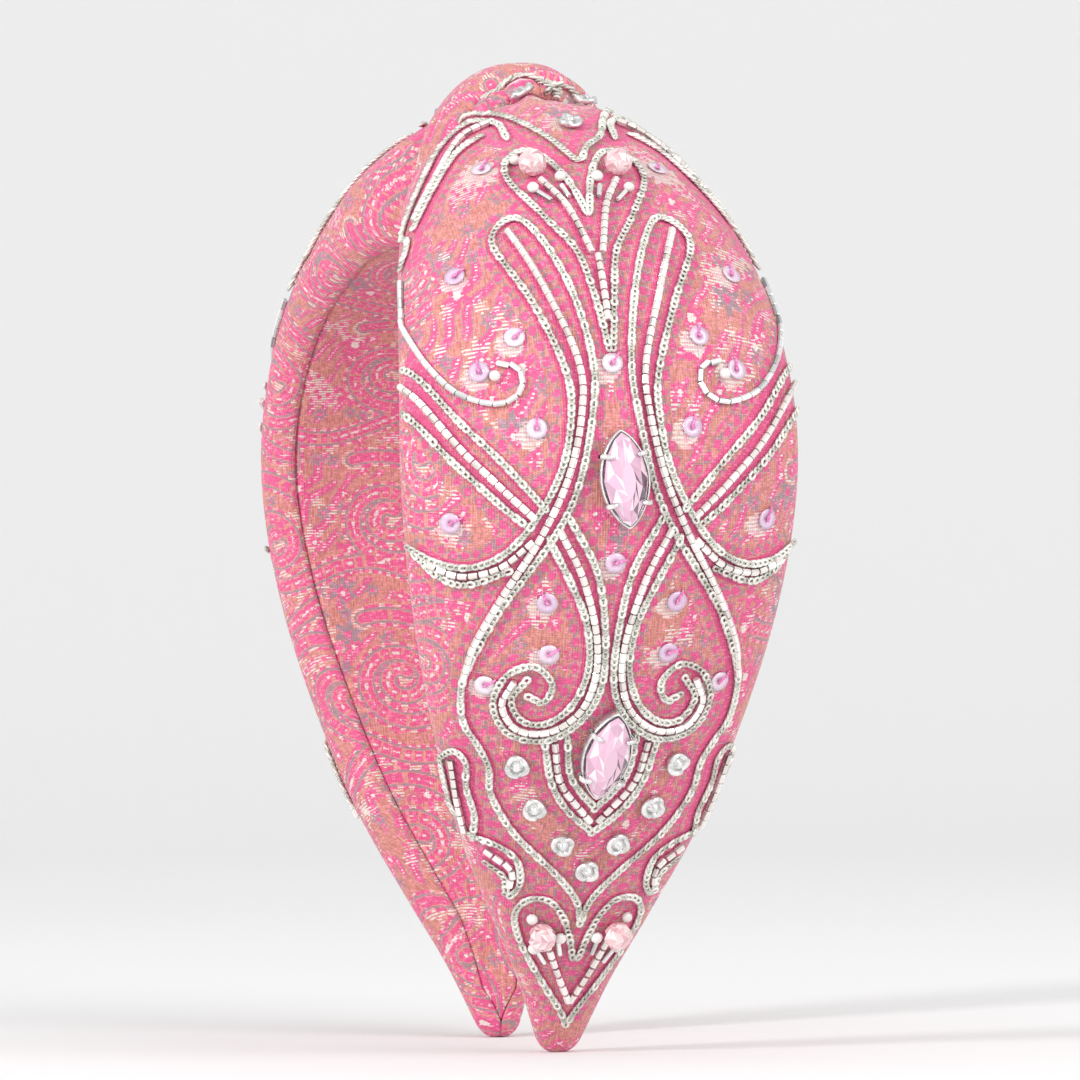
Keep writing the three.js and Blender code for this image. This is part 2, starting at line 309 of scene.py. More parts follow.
def brocade():
    """Woven figures in pink, lilac grey and off-white on ribbed salmon, from the cloth's own fields."""
    p = Paint("Brocade")
    u, v = p.cloth_map()
    at = p.vector(u, v)
    pick = p.vector((u * 1.7).floor(), (v * 4.2).floor())
    ragged = p.node("ShaderNodeTexWhiteNoise", {"noise_dimensions": "2D"}, {"Vector": pick}) - 0.5
    streak = p.noise(p.vector(u * 2.4, v * 0.5), 1.2, 2.0)
    float_gap = (v * 11.5 + p.noise(at, 0.5) * 4).sine().between(-0.35, 0.1)
    dash = float_gap * (1 - ragged.between(0.28, 0.3))

    colour = p.mix(streak.between(0.35, 0.7), SALMON, DEEP_SALMON)
    open_ground = p.field("scroll").between(2.6, 3.4)
    colour = p.mix(open_ground, colour, woven_strokes(p, colour, u, v, at, dash, ragged))
    colour = woven_flowers(p, colour, at, dash, ragged, 0.105, 1.0)
    colour = woven_flowers(p, colour, p.vector(v + 13.0, u + 7.0), dash, ragged, 0.2, 0.5)
    colour = woven_scrolls(p, colour, dash, ragged)
    colour = sewn_border(p, colour, streak, ragged)
    blossom = p.field("blossom") + ragged * 0.5
    colour = p.mix(blossom.between(0.0, 0.15) * (dash * 0.5 + 0.5), colour, OFF_WHITE)
    # the weave: ribs along, weft floats across; painted shade along the ribs and floats, each thread's own
    # random tone, and painted highlight flecks
    rib, weft = (u * 14.5).sine(), (v * 19.0 + (u * 7.2).sine()).sine()
    weave = rib * 0.55 + weft * 0.45
    # painted shade from the ribs and floats, with each thread's own random tone
    shade = 0.89 + weave * 0.09 + ragged * 0.22 + (p.noise(at, 2.2, 2.0) - 0.5) * 0.3
    lit = p.node("ShaderNodeVectorMath", {"operation": "SCALE"}, {0: colour, "Scale": shade})
    # painted highlight: bright pink flecks on a few threads
    lit = p.mix((ragged + p.noise(at, 3.1)).between(0.86, 0.92) * 0.5, lit, PAINTED_HIGHLIGHT_PINK)
    height = weave * 0.35 + p.noise(at, 1.1, 2.0) * 0.9 + ragged * 0.3
    return p.surface(
        Base_Color=lit, Roughness=0.40 + streak * 0.25, Normal=p.bump(height, 0.00018, 0.75),
        Sheen_Weight=0.2,
        Sheen_Roughness=0.4, Specular_IOR_Level=0.45,
    )


def woven_scrolls(p, colour, dash, ragged):
    """Scrolls: a dashed white line, pink blocks, a grey line and a second row of dashes."""
    scroll, pulse = p.field("scroll") + ragged * 0.28, p.field("pulse")
    rim = 1 - scroll.between(1.5, 1.6)
    blocks = (1 - scroll.between(0.95, 1.05)) * pulse.between(-0.65, -0.5)
    tufts = p.mix(pulse.between(0.1, 0.3), HOT_PINK, p.mix(dash, SALMON, OFF_WHITE))
    colour = p.mix(1 - scroll.between(2.1, 2.2), colour, tufts)
    colour = p.mix(rim, colour, LILAC_GREY)
    colour = p.mix(1 - scroll.between(1.1, 1.2), colour, SALMON)
    colour = p.mix(blocks, colour, HOT_PINK)
    return p.mix((1 - scroll.between(0.22, 0.32)) * pulse.between(-0.4, -0.2), colour, OFF_WHITE)


def sewn_border(p, colour, streak, ragged):
    """The pink beads of the border that follows the sewn lines, with grey between them."""
    vine, beat = p.field("vine") + ragged * 0.14, p.field("beat")
    bead = (beat * 0.8 + 0.75 - (vine - 1.75) * (vine - 1.75) * 1.7).between(0.45, 0.6)
    near = 1 - vine.between(2.7, 2.8)
    ground = p.mix(streak.between(0.35, 0.7), SALMON, DEEP_SALMON)
    colour = p.mix(near, colour, ground)
    edging = (beat * 0.8 + 1.25 - (vine - 1.75) * (vine - 1.75) * 1.5).between(0.45, 0.6)
    colour = p.mix(edging * near * streak.between(0.40, 0.5), colour, LILAC_GREY)
    colour = p.mix(bead * near, colour, HOT_PINK)
    return p.mix(1 - vine.between(0.75, 0.95), colour, HOT_PINK)


def woven_strokes(p, colour, u, v, at, dash, ragged):
    """Slanting leaf strokes in pink edged with grey, and patches of white floats with pink dots."""
    drift = p.noise(at, 0.10, 1.0) * 17.0
    flow = (u * 1.75 + v * 1.15 + drift).sine() + ragged * 0.35
    patch = p.noise(p.vector(u + 60.0, v), 0.13, 1.0) + ragged * 0.03
    leafy = patch.between(0.44, 0.47)
    colour = p.mix(leafy * flow.between(-0.35, -0.25), colour, LILAC_GREY)
    colour = p.mix(leafy * flow.between(-0.05, 0.05), colour, HOT_PINK)
    colour = p.mix(leafy * flow.between(0.86, 0.92) * dash, colour, OFF_WHITE)
    pebbled = p.noise(p.vector(u, v + 90.0), 0.11, 1.0).between(0.59, 0.61)
    dots = ((u * 2.6 + v).sine() * (v * 2.6 - u).sine()).between(0.25, 0.35)
    colour = p.mix(pebbled * dash, colour, OFF_WHITE)
    return p.mix(pebbled * dots, colour, HOT_PINK)


def woven_flowers(p, colour, at, dash, ragged, scale, size):
    """Scattered flowers, one to a cell, in white floats, pink or grey, each with a contrasting middle."""
    cell = {"Vector": at, "Scale": scale, "Randomness": 0.8}
    middle = p.node("ShaderNodeTexVoronoi", {"voronoi_dimensions": "2D"}, cell, "Position")
    tint = p.node("ShaderNodeSeparateColor", None, {0: middle.sibling("Color")})
    away = p.node("ShaderNodeVectorMath", {"operation": "SUBTRACT"}, {0: at, 1: middle})
    split = p.node("ShaderNodeSeparateXYZ", None, {0: away})
    angle = split.sibling("Y").maths("ARCTAN2", split)
    reach = middle.sibling("Distance") / scale
    petals = (angle * 6 + tint * 20).sine()
    flower = (size * 2.1 + petals * size * 0.8 - reach + ragged * 0.5).between(-0.1, 0.1)
    colour = p.mix(flower * (tint < 0.36) * dash, colour, OFF_WHITE)
    colour = p.mix(flower * (tint > 0.36) * (tint < 0.72), colour, HOT_PINK)
    colour = p.mix(flower * (tint > 0.72), colour, LILAC_GREY)
    heart = (size * 0.7 - reach + ragged * 0.5).between(-0.1, 0.1)
    return p.mix(heart * (tint > 0.3), colour, p.mix(tint.between(0.71, 0.73), OFF_WHITE, HOT_PINK))


def silver_thread():
    p = Paint("Silver thread")
    tone = p.field("tone")
    at = p.node("ShaderNodeTexCoord", output="Object")
    wound = p.noise(at, 4500.0, 2.0)
    colour = p.mix((wound * 0.6 + tone * 0.5).between(0.2, 0.8), (0.50, 0.49, 0.43, 1),
                   (0.93, 0.92, 0.86, 1))
    return p.surface(Base_Color=colour, Metallic=0.35, Roughness=0.3, Normal=p.bump(wound, 0.00010, 0.7))


def lined_glass(name, dark, middle, bright):
    """Silver-lined cut glass with painted reflections: the side faces in turn carry a painted dark or bright
    reflection, and a random tone makes no two pieces match.
    """
    p = Paint(name)
    tone, facet_reflection = p.field("tone"), p.field("facet_reflection")
    light = facet_reflection * 0.7 + tone * 0.5
    colour = p.mix(light.between(0.12, 0.34), dark, middle)
    colour = p.mix(light.between(0.5, 0.85), colour, bright)
    return p.surface(Base_Color=colour, Metallic=0.5, Roughness=0.1, Coat_Weight=1.0, Coat_Roughness=0.03)


def polished_silver():
    p = Paint("Polished silver")
    at = p.node("ShaderNodeTexCoord", output="Object")
    worn = p.noise(at, 900.0, 3.0)
    colour = p.mix(worn.between(0.35, 0.65), (0.70, 0.71, 0.71, 1), (0.93, 0.93, 0.91, 1))
    return p.surface(Base_Color=colour, Metallic=0.85, Roughness=0.16 + worn * 0.15,
                     Normal=p.bump(worn, 0.00008, 0.5))


def pearl_white():
    p = Paint("White seed bead")
    tone = p.field("tone")
    colour = p.mix(tone, (0.74, 0.68, 0.66, 1), (0.88, 0.85, 0.83, 1))
    return p.surface(Base_Color=colour, Roughness=0.22, Coat_Weight=0.8, Coat_Roughness=0.08)


def sequin_film():
    p = Paint("Pearl sequin")
    tone = p.field("tone")
    colour = p.mix(tone, (0.80, 0.55, 0.76, 1), (0.98, 0.88, 0.95, 1))
    return p.surface(Base_Color=colour, Roughness=0.12, Alpha=0.86, Coat_Weight=1.0, Coat_Roughness=0.05,
                     Metallic=0.1)


def pink_thread():
    p = Paint("Pink thread")
    at = p.node("ShaderNodeTexCoord", output="Object")
    colour = p.mix(p.noise(at, 3000.0).between(0.4, 0.6), (0.72, 0.10, 0.38, 1), (0.93, 0.32, 0.62, 1))
    return p.surface(Base_Color=colour, Roughness=0.5, Sheen_Weight=0.3)


def cut_stone(name, dark, pale, bright):
    """Foil-backed glass with painted reflections: each face's tone paints the share of light it throws back,
    from dark through pale to bright.
    """
    p = Paint(name)
    tone = p.field("tone")
    colour = p.mix(tone.between(0.0, 0.45), dark, pale)
    colour = p.mix(tone.between(0.62, 1.0), colour, bright)
    return p.surface(Base_Color=colour, Metallic=0.25, Roughness=0.05, Coat_Weight=1.0, Coat_Roughness=0.02)


def wadding_foam():
    p = Paint("Wadding")
    at = p.node("ShaderNodeTexCoord", output="Object")
    pores = p.noise(at, 900.0, 3.0)
    colour = p.mix(pores, (0.80, 0.76, 0.66, 1), (0.93, 0.90, 0.83, 1))
    return p.surface(Base_Color=colour, Roughness=0.9, Normal=p.bump(pores, 0.0004, 0.6))


def core_plastic():
    p = Paint("Sprung plastic")
    at = p.node("ShaderNodeTexCoord", output="Object")
    grain = p.noise(at, 400.0, 4.0)
    colour = p.mix(grain, (0.80, 0.79, 0.75, 1), (0.86, 0.85, 0.82, 1))
    return p.surface(Base_Color=colour, Roughness=0.42 + grain * 0.1, Normal=p.bump(grain, 0.00005, 0.4))


BROCADE = brocade()
SILVER_THREAD, POLISHED = silver_thread(), polished_silver()
BEAD_GLASS = lined_glass("Silver-lined bead glass", (0.20, 0.17, 0.16, 1), (0.80, 0.74, 0.69, 1),
                         (0.99, 0.97, 0.95, 1))
TUBE_GLASS = lined_glass("Silver tube glass", (0.22, 0.24, 0.24, 1), (0.66, 0.69, 0.68, 1),
                         (0.98, 0.99, 0.98, 1))
PEARL, SEQUIN, PINK_THREAD = pearl_white(), sequin_film(), pink_thread()
CRYSTAL = cut_stone("Pale pink crystal", (0.13, 0.08, 0.12, 1), (0.78, 0.47, 0.62, 1), (0.98, 0.86, 0.93, 1))
PINK_GLASS = cut_stone("Pink faceted glass", (0.62, 0.27, 0.32, 1), (0.88, 0.60, 0.62, 1),
                       (0.99, 0.93, 0.93, 1))

# ---- the embroidery, as (distance from the tip, distance from the centre line) on the left half ----
CORDS = {
    "upper_bud": [(141, -0.3), (148, -2), (154, -4.8), (155.6, -7.8), (153, -10.8), (148, -10.9), (140, -7),
                  (134, -3.3), (128, -1.8), (120, -0.4)],
    "long_loop": [(77, -21.4), (85, -18), (91, -14), (97, -9.6), (103, -6.3), (112, -3.7), (118, -3.1),
                  (127, -4.9),
                  (136, -8.3), (140.6, -11.4), (139.5, -15), (135.5, -15.9), (126, -11.3), (117, -7.5),
                  (112, -7.1),
                  (106, -8.6), (100, -12), (94.5, -16.8), (91.8, -22), (91.8, -27), (93.4, -31)],
    "sickle": [(92.6, -30.4), (89.8, -27), (89, -23), (91.4, -17)],
    "upper_diagonal": [(121, -31.4), (112.5, -25), (106.5, -18), (100.6, -11.6)],
    "lower_diagonal": [(114, -32), (107.5, -26.3), (101, -18.5), (98.2, -14.4)],
    "outer_tulip": [(99, -7.4), (92, -3), (84, -1.2), (76, -0.8), (71, -2), (67, -5), (64.4, -9.5),
                    (65.3, -15),
                    (70, -17.6), (75, -16), (77, -12), (74.4, -8.9), (71.2, -9.8), (71.8, -12)],
    "inner_tulip": [(96, -10.5), (90, -6.9), (84, -4.1), (77, -3.3), (71, -5.3), (67.6, -9), (67.6, -12.8),
                    (71, -14.9), (74.4, -13)],
    "outer_heart": [(64, -9.1), (57, -7.4), (52, -4.4), (48.2, -0.2)],
    "inner_heart": [(65, -5.6), (59, -4.7), (55.5, -2.6), (52.8, -0.2)],
    "lozenge": [(77, -21.4), (72, -22.4), (66, -21.6), (62, -19), (58.5, -17.2), (53.5, -16.3), (47, -12.3),
                (40, -5.3), (35, -1.4), (30.5, 0)],
    "upper_leaf": [(47, -20.3), (52, -23), (56.5, -24), (60, -22.6), (58.6, -20.6), (54, -20), (49, -18.3),
                   (44.6, -18)],
    "lower_leaf": [(44.6, -18.4), (44, -14.5), (41.6, -11.2), (37, -10.3), (34.2, -11.7), (38, -12.8),
                   (39.8, -15.4)],
    "tip_bud": [(23, -0.5), (27, -1.4), (31.4, -3), (34.4, -5.6), (34, -8.8), (30.5, -10.2), (25, -8.6),
                (18, -4.8),
                (12.5, -1.5), (9.6, -0.2)],
    "shoulder_leaf": [(160.6, -9), (165, -9.4), (168, -12.6), (166.2, -17.4), (159, -22.4), (150, -27.2),
                      (145, -27.4),
                      (141, -29)],
    "shoulder_vein": [(162.6, -12.6), (160, -17.2), (153, -22.4), (147.4, -26)],
}
BEAD_ROWS = {
    "loop": [(138, -13.2), (128, -9.2), (118, -5.4), (112, -5.5), (104, -8), (96, -12.3), (88, -17.3),
             (80, -21),
             (74, -22.2)],
    "sickle": [(91.2, -28), (90.3, -23.5), (92, -18), (95.5, -13.6)],
    "diagonal": [(118, -31.8), (110, -25.8), (104, -19.2), (99.4, -13.4)],
    "tulip": [(97, -8.7), (91, -5.2), (83, -2.6), (76, -2.1), (70, -4), (66.2, -8.6), (66.2, -13.6),
              (70, -16.2),
              (73.6, -15)],
    "heart": [(63.5, -7.4), (57, -5.9), (50.6, -1)],
    "leaf": [(57.5, -22.4), (51, -20.9), (45.5, -19.3)],
    "lower_leaf": [(42.2, -15.5), (39.8, -11.9), (37, -11.7)],
    "shoulder": [(165.6, -11.4), (163.6, -15.8), (156.4, -20.9), (149.4, -25.4)],
    "bud_stalk": [(147.4, -5.9), (142, -3.2), (134, -1)],
    "tip_stalk": [(25.4, -4.6), (20, -2.6), (14.6, -0.4)],
}
CURL = [(137, -30.4), (129, -30.7), (121.5, -28.9), (116.2, -25.2), (114, -20.6), (113.9, -16.8),
        (115.8, -14.4),
        (118, -15.2), (118.6, -17.2)]
MIDDLE_STALK = [(132.5, 0), (124, 0)]
CROWN_CORDS = [
    [(173, -13), (168, -8.5), (160, -3), (152.6, 0.8), (156.4, 3.4), (160, 6.4), (166, 8.4), (172, 11)],
    [(184.8, -5.2), (184.4, -2), (182.8, 1.4), (180, 5), (176.6, 8.6)],
    [(182.2, -4.8), (181.8, -2), (180.4, 0.8), (178.4, 3.4)],
]
CROWN_BEADS = [[(183.4, -5), (183, -2), (181.5, 1), (179.2, 4)]]
WHITE_BEADS = [(153, -9.2), (148, -3), (146, -7.8), (117.1, -18.5), (30.6, -7.6), (27.2, -2.9), (24.6, -6.6)]
STALKS = [
    ((146.9, -3.2), (143.4, -2.4)), ((145.9, -7.4), (142.8, -5.2)), ((26.9, -3.3), (23.4, -2.5)),
    ((24.5, -6.6), (21.4, -4.4)),
]
PAIRED_SEQUINS = [(153.5, -14.5), (133, -22.6), (122, -15), (118, -20.9), (110.5, -12.6), (98, -25.7),
                  (87, -10.5),
                  (79, -9.7), (73, -19.1)]
MIDDLE_SEQUINS = [(118, 0), (93, 0)]


def mirrored(line):
    return [(s, -y) for s, y in line]


def spline(line, step=0.5):
    """Points at an even step on a smooth curve through the line's points."""
    p = np.array(line, float)
    p = np.vstack([2 * p[0] - p[1], p, 2 * p[-1] - p[-2]])
    t = np.linspace(0, 1, 24, endpoint=False)[:, None]
    curves = [
        0.5 * (2 * b + (c - a) * t + (2 * a - 5 * b + 4 * c - d) * t * t + (3 * b - a - 3 * c + d) * t ** 3)
        for a, b, c, d in zip(p, p[1:], p[2:], p[3:])
    ]
    path = np.vstack(curves + [p[-2:-1]])
    gone = np.concatenate([[0], np.cumsum(np.linalg.norm(np.diff(path, axis=0), axis=1))])
    at = np.linspace(0, gone[-1], max(2, round(gone[-1] / step) + 1))
    path = np.stack([np.interp(at, gone, path[:, 0]), np.interp(at, gone, path[:, 1])], 1)
    edge = half_width(path[:, 0]) * 0.985
    path[:, 1] = np.clip(path[:, 1], -edge, edge)
    return path


def both_halves(lines):
    return [spline(half) for line in lines for half in (line, mirrored(line))]


CORD_LINES = both_halves(CORDS.values()) + [spline(line) for line in CROWN_CORDS]
BEAD_LINES = both_halves(BEAD_ROWS.values()) + [spline(line) for line in [MIDDLE_STALK, *CROWN_BEADS]]
CURL_LINES = both_halves([CURL])

# ---- the brocade's woven figures, as fields over the cloth ----
DAISIES = [(153, -15.2)]
SCROLL_ROW, SCROLL_COLUMN = 31.0, 23.0


def scroll_lines():
    """Spirals in half-drop rows with tails, and a waving line above each row, as (along, across)."""
    t = np.linspace(0, 13.6, 150)
    grow = 1.9 * np.exp(0.142 * t)
    lines = []
    for row in range(-1, 8):
        for column in range(-3, 4):
            hand = 1 if column % 2 else -1
            v0, u0 = row * SCROLL_ROW + (column % 2) * 13, column * SCROLL_COLUMN + 7
            lines.append(np.stack([v0 + grow * np.sin(t + 1), u0 + hand * grow * np.cos(t + 1)], 1))
        u = np.linspace(-66, 66, 270)
        lines.append(np.stack([row * SCROLL_ROW + 19.5 + 3.2 * np.sin(u * 0.16 + row * 2), u], 1))
    return lines


SCROLLS = scroll_lines()


def nearest_line(lines, s, y, pitch):
    """Distance to the nearest of the lines, and a wave along that line with the given pitch."""
    waves = [np.concatenate([[0], np.cumsum(np.hypot(*np.diff(line, axis=0).T))]) for line in lines]
    wave = np.cos(np.concatenate(waves) * 2 * math.pi / pitch)
    points = np.vstack(lines)
    tree = KDTree(len(points))
    for i, (a, b) in enumerate(points.tolist()):
        tree.insert((a, b, 0), i)
    tree.balance()
    found = [tree.find((a, b, 0))[1:] for a, b in zip(s.ravel().tolist(), y.ravel().tolist())]
    index, distance = np.array(found).T
    return distance, wave[index.astype(int)]


def blossom_field(u, v):
    """Positive inside the daisies of long floats and the flecks round the sequins."""
    best = np.full(u.shape, -9.0)
    for k, (cv, cu) in enumerate(DAISIES + mirrored(DAISIES)):
        r = np.hypot(u - cu, v - cv) + 1e-6
        petal = np.cos(9 * np.arctan2(v - cv, u - cu) + k) * 1.1 + 0.55
        best = np.maximum(best, np.minimum(petal * np.minimum(r, 2.2), 3.7 + 0.5 * np.sin(3 * u + k) - r))
    for cv, cu in PAIRED_SEQUINS + mirrored(PAIRED_SEQUINS) + MIDDLE_SEQUINS:
        ring = 0.8 - ((u - cu - 0.6) / 2.7) ** 2 - ((v - cv + 0.8) / 2.0) ** 2
        best = np.maximum(best, ring)
    return best


def woven(u, v, sewn=False):
    """All the fields of a piece of brocade. sewn is for the covers, whose border follows the sewn lines."""
    scroll, pulse = nearest_line(SCROLLS, v, u, 1.9)
    fields = {"scroll": scroll, "pulse": pulse, "vine": np.full(u.size, 20.0), "beat": np.zeros(u.size)}
    fields["blossom"] = np.full(u.size, -9.0)
    if sewn:
        fields["vine"], fields["beat"] = nearest_line(CORD_LINES + BEAD_LINES, v, u, 2.35)
        fields["blossom"] = blossom_field(u, v).ravel()
        # no scrolls among the sewn lines, only along the panel's sides and turned edges
        middle = np.abs(u.ravel()) < 0.86 * half_width(v.ravel())
        fields["scroll"] = np.where(middle, 20.0, scroll)
    return fields


# ---- the covers ----
DOME_POINTS, CORNER_POINTS = 110, 8
COVER_FIELDS = {}  # both covers are woven alike, so the fields are worked out once


def turned_in(s):
    """How far the cloth is turned in at each edge: nearly closed at the tip."""
    share = 0.45 + 0.53 * np.clip((9 - s) / 5.5, 0, 1)
    return np.minimum(TURN_OVER, share * half_width(s))


def section(s, shrink=0.0):
    """Across a cover at each s, from one turned edge over the dome to the other: y and h arrays."""
    s = s[:, None]
    width, depth = half_width(s) - shrink, inner_depth(s) - shrink
    turn = turned_in(s) - shrink
    a = np.linspace(math.pi / 2, 0, CORNER_POINTS, endpoint=False)[None]
    corner_y, corner_h = width - turn + turn * np.cos(a), -depth * np.sin(a)
    t = np.linspace(0, math.pi, DOME_POINTS)[None]
    dome_y = width * np.cos(t) * np.ones_like(s)
    power = roundness(s)
    top = (1 - np.abs(np.cos(t)) ** power) ** (1 / power)
    dome_h = (outer_depth(s) - shrink + pleats(s, np.cos(t))) * top
    y = np.hstack([corner_y, dome_y, -corner_y[:, ::-1]])
    h = np.hstack([corner_h, dome_h, corner_h[:, ::-1]])
    return y, h


def cover(side):
    """One embroidered cover: a wall of cloth that turns in at its edges, from the tip to the knot."""
    s = np.concatenate([np.linspace(TIP_START, 12, 26), np.linspace(12, ARCH_LENGTH - 0.03, 300)[1:]])
    wall = np.minimum(CLOTH, 0.3 * half_width(s))[:, None]
    (y, h), (iy, ih) = section(s), section(s, 0)
    shrunk_y, shrunk_h = section(s, CLOTH)
    mix = wall / CLOTH
    iy, ih = y + (shrunk_y - y) * mix, h + (shrunk_h - h) * mix
    count = y.shape[1]
    steps = np.hypot(np.diff(y, axis=1), np.diff(h, axis=1))
    u = np.hstack([np.zeros((len(s), 1)), np.cumsum(steps, 1)])
    u = u - u[:, count // 2][:, None]
    ring_y, ring_h = np.hstack([y, iy[:, ::-1]]), np.hstack([h, ih[:, ::-1]])
    ring_u = np.hstack([u, u[:, ::-1]])
    points = place(s[:, None], ring_y, ring_h)
    rows, columns = ring_y.shape
    faces = grid_faces(rows, columns, around=True)
    last = (rows - 1) * columns
    for i in range(count - 1):
        a, b, c, d = i, i + 1, columns - 2 - i, columns - 1 - i
        faces += [(a, d, c, b), (last + a, last + b, last + c, last + d)]
    faces = [f[::-1] for f in faces]
    along = np.broadcast_to(s[:, None], ring_y.shape)
    fields = COVER_FIELDS.setdefault("cover", {}) or woven(ring_u, along, sewn=True)
    COVER_FIELDS["cover"] = fields
    uv = np.stack([ring_u.ravel(), along.ravel()], 1)
    name = side_name(side)
    mesh = mesh_of(name + "_cover", turned(points.reshape(-1, 3), side), faces, uv, fields)
    piece = show(name + "_embroidered_cover", mesh, BROCADE, side, [name + "_cover", name + "_gather"])
    return piece


def bar(name, side, s, outline, material, stands_for, uv_field=False):
    """A closed bar along one leg, from its outline(s) rows of y and h."""
    y, h = outline(s)
    points = place(s[:, None], y, h)
    rows, columns = y.shape
    faces = grid_faces(rows, columns, around=True)
    faces += [tuple(range(columns))[::-1], tuple((rows - 1) * columns + i for i in range(columns))]
    faces = [f[::-1] for f in faces]
    along = np.broadcast_to(s[:, None], y.shape)
    uv, fields = np.stack([y.ravel(), along.ravel()], 1), None
    if uv_field:
        uv = uv + np.array([-4.5, 11.0 if side > 0 else 27.0])
        fields = woven(uv[:, 0].reshape(y.shape), uv[:, 1].reshape(y.shape))
    mesh = mesh_of(name, turned(points.reshape(-1, 3), side), faces, uv, fields)
    return show(name, mesh, material, side, stands_for)


def lining_outline(s):
    s = s[:, None]
    half = np.maximum(half_width(s) - turned_in(s) - 0.08, 0.12)
    across = np.linspace(-1, 1, 90)[None]
    y = half * across
    seam = 0.55 * np.clip((np.abs(y) - half + 0.9) / 0.9, 0, 1) ** 2
    under = -inner_depth(s) - 0.05 + seam + 0.25 * np.exp(-((np.abs(y) - 0.27 * half_width(s)) / 0.35) ** 2)
    under = under + 0.12 * np.sin(s * 0.45 + across * 3) * (1 - across ** 2)
    upper = -inner_depth(s) + np.minimum(LINING, 0.35 * half_width(s)) + 0 * y
    return np.hstack([y, y[:, ::-1]]), np.hstack([under, upper])


def core_outline(s):
    s = s[:, None]
    half = 0.5 * half_width(s)
    low = -inner_depth(s) + LINING + 0.4
    across = np.array([[-1, -0.94, 0, 0.94, 1, 1, 0.94, 0, -0.94, -1]])
    up = np.array([[0.35, 0, 0, 0, 0.35, 1.35, 1.7, 1.7, 1.7, 1.35]])
    return half * across, low + up


def wadding_outline(s):
    s = s[:, None]
    inset = CLOTH + 0.6
    t = np.linspace(0, math.pi, 24)[None]
    y = (half_width(s) - inset) * np.cos(t)
    top = (outer_depth(s) - inset) * np.sin(t) ** 0.95 + 0 * y
    floor = -inner_depth(s) + LINING + 2.6 + 0 * s
    y = np.hstack([y, -(half_width(s) - inset - 1.2), half_width(s) - inset - 1.2])
    return y, np.hstack([top, floor, floor])


def band_layers(side):
    name = side_name(side)
    s = np.linspace(4.2, ARCH_LENGTH, 250)
    lining = bar(name + "_lining", side, s, lining_outline, BROCADE, ["lining"],
                 uv_field=True)
    y, _ = lining_outline(s)
    area = float(np.trapz(y.max(1) - y.min(1), s)) * MM * MM
    width = float(y.max() - y.min()) * MM
    length = (ARCH_LENGTH - 4.2) * MM
    min(area, width * length)
    bar(name + "_plastic_core", side, np.linspace(12, ARCH_LENGTH, 120), core_outline, CORE, ["band_core"])
    pads = [name + "_pad", "crown_pad"]
    wadding = bar(name + "_wadding", side, np.linspace(11, ARCH_LENGTH, 90), wadding_outline, FOAM, pads)


# ---- Geometry Nodes: shapes sewn along lines and at places ----
class Tree:
    """A Geometry Nodes tree under construction."""

    def __init__(self, name):
        self.group = bpy.data.node_groups.new(name, "GeometryNodeTree")
        self.group.interface.new_socket("Geometry", in_out="OUTPUT", socket_type="NodeSocketGeometry")
        self.group.interface.new_socket("Geometry", in_out="INPUT", socket_type="NodeSocketGeometry")
        self.start = self.group.nodes.new("NodeGroupInput")
        self.end = self.group.nodes.new("NodeGroupOutput")

    def ask(self, name, kind, value=None):
        made = self.group.interface.new_socket(name, in_out="INPUT", socket_type="NodeSocket" + kind)
        if value is not None:
            made.default_value = value
        return self.start.outputs[name]

    def node(self, kind, settings=None, sockets=None, output=0):
        made = self.group.nodes.new(kind)
        for key, value in (settings or {}).items():
            setattr(made, key, value)
        for key, value in (sockets or {}).items():
            if isinstance(value, bpy.types.NodeSocket):
                self.group.links.new(value, made.inputs[key])
            else:
                made.inputs[key].default_value = value
        return made.outputs[output]


def sewing_tree(name, along_lines):
    """Stands a shape on the cloth, along each line at an even pitch, or once at each place."""
    t = Tree(name)
    shape, finish = t.ask("Shape", "Object"), t.ask("Finish", "Material")
    pitch, spread, seed = t.ask("Pitch", "Float", 0.001), t.ask("Size spread", "Float", 0.0), t.ask("Seed",
                                                                                                    "Int", 1)
    spots = t.start.outputs["Geometry"]
    heading = t.node("GeometryNodeInputNamedAttribute", {"data_type": "FLOAT_VECTOR"}, {"Name": "heading"})
    if along_lines:
        curve = t.node("GeometryNodeMeshToCurve", None, {"Mesh": spots})
        spots = t.node("GeometryNodeResampleCurve", {"mode": "LENGTH"}, {"Curve": curve, "Length": pitch})
        heading = t.node("GeometryNodeInputTangent")
    out = t.node("GeometryNodeInputNamedAttribute", {"data_type": "FLOAT_VECTOR"}, {"Name": "out"})
    axes = {"primary_axis": "Z", "secondary_axis": "Y"}
    stand = t.node("FunctionNodeAxesToRotation", axes, {"Primary Axis": out, "Secondary Axis": heading})
    small = t.node("ShaderNodeMath", {"operation": "SUBTRACT"}, {0: 1.0, 1: spread})
    large = t.node("ShaderNodeMath", {"operation": "ADD"}, {0: 1.0, 1: spread})
    size = t.node("FunctionNodeRandomValue", {"data_type": "FLOAT"},
                  {"Min": small, "Max": large, "Seed": seed}, 1)
    thing = t.node("GeometryNodeObjectInfo", None, {"Object": shape}, "Geometry")
    placed = {"Points": spots, "Instance": thing, "Rotation": stand, "Scale": size}
    rows = t.node("GeometryNodeInstanceOnPoints", None, placed)
    tone = t.node("FunctionNodeRandomValue", {"data_type": "FLOAT"}, {"Seed": seed}, 1)
    keep = {"Geometry": rows, "Name": "tone", "Value": tone}
    rows = t.node("GeometryNodeStoreNamedAttribute", {"data_type": "FLOAT", "domain": "INSTANCE"}, keep)
    real = t.node("GeometryNodeRealizeInstances", None, {0: rows})
    done = t.node("GeometryNodeSetMaterial", None, {"Geometry": real, "Material": finish})
    t.group.links.new(done, t.end.inputs["Geometry"])
    return t.group


SEWN_ROW, SEWN_SPOTS = sewing_tree("Sewn row", True), sewing_tree("Sewn spots", False)


